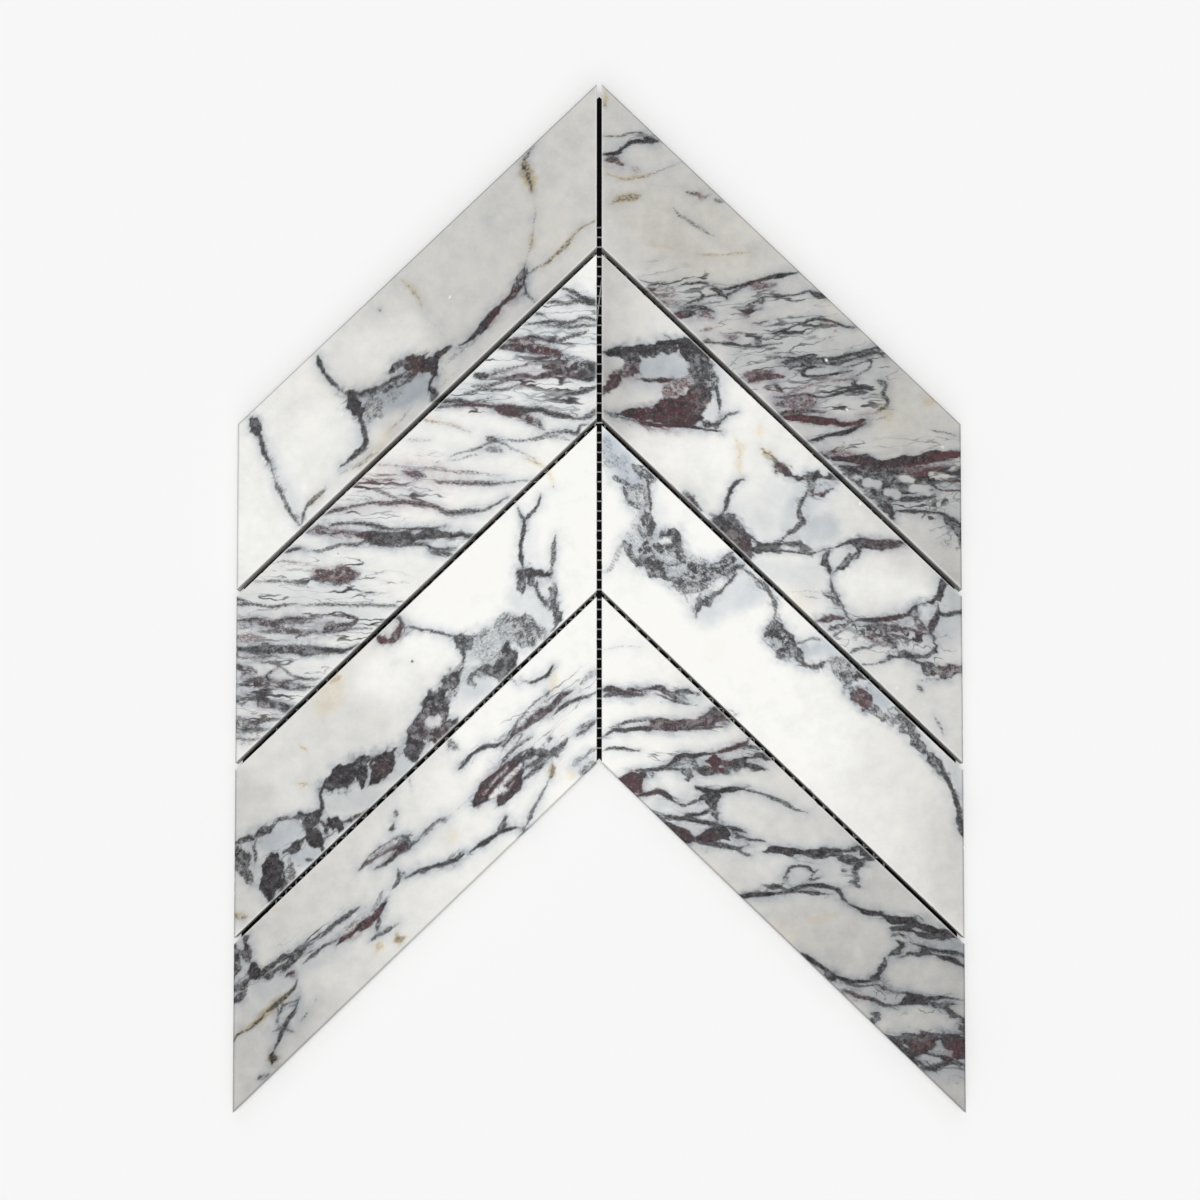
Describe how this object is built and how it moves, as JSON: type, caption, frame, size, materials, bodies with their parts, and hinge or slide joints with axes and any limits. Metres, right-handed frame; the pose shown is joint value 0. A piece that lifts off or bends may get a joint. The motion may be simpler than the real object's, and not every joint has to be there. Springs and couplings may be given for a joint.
{
  "type": "chevron marble mosaic sheet",
  "caption": "Chevron mosaic sheet: mirrored columns of parallelogram marble staves with narrow joints, face up on a glass-fibre net, with a notch that takes the next sheet's apex.",
  "frame": {"origin": "centre of the sheet's outline, on the plane of the net's back", "axes": "+Z out of the polished face, +Y along the upright joint towards the apex, +X to the right seen from the front"},
  "size_m": [0.2902, 0.4134, 0.0105],
  "materials": {
    "veined_marble": "polished white marble with dark grey, black and burgundy veins, sawn sides",
    "glass_fibre_net": "resin-coated white glass-fibre threads"
  },
  "bodies": {
    "root": {"marble_left_1": "veined_marble", "marble_right_1": "veined_marble", "marble_left_2": "veined_marble", "marble_right_2": "veined_marble", "marble_left_3": "veined_marble", "marble_right_3": "veined_marble", "marble_left_4": "veined_marble", "marble_right_4": "veined_marble", "net_warp_threads": "glass_fibre_net", "net_weft_threads": "glass_fibre_net"}
  },
  "joints": []
}
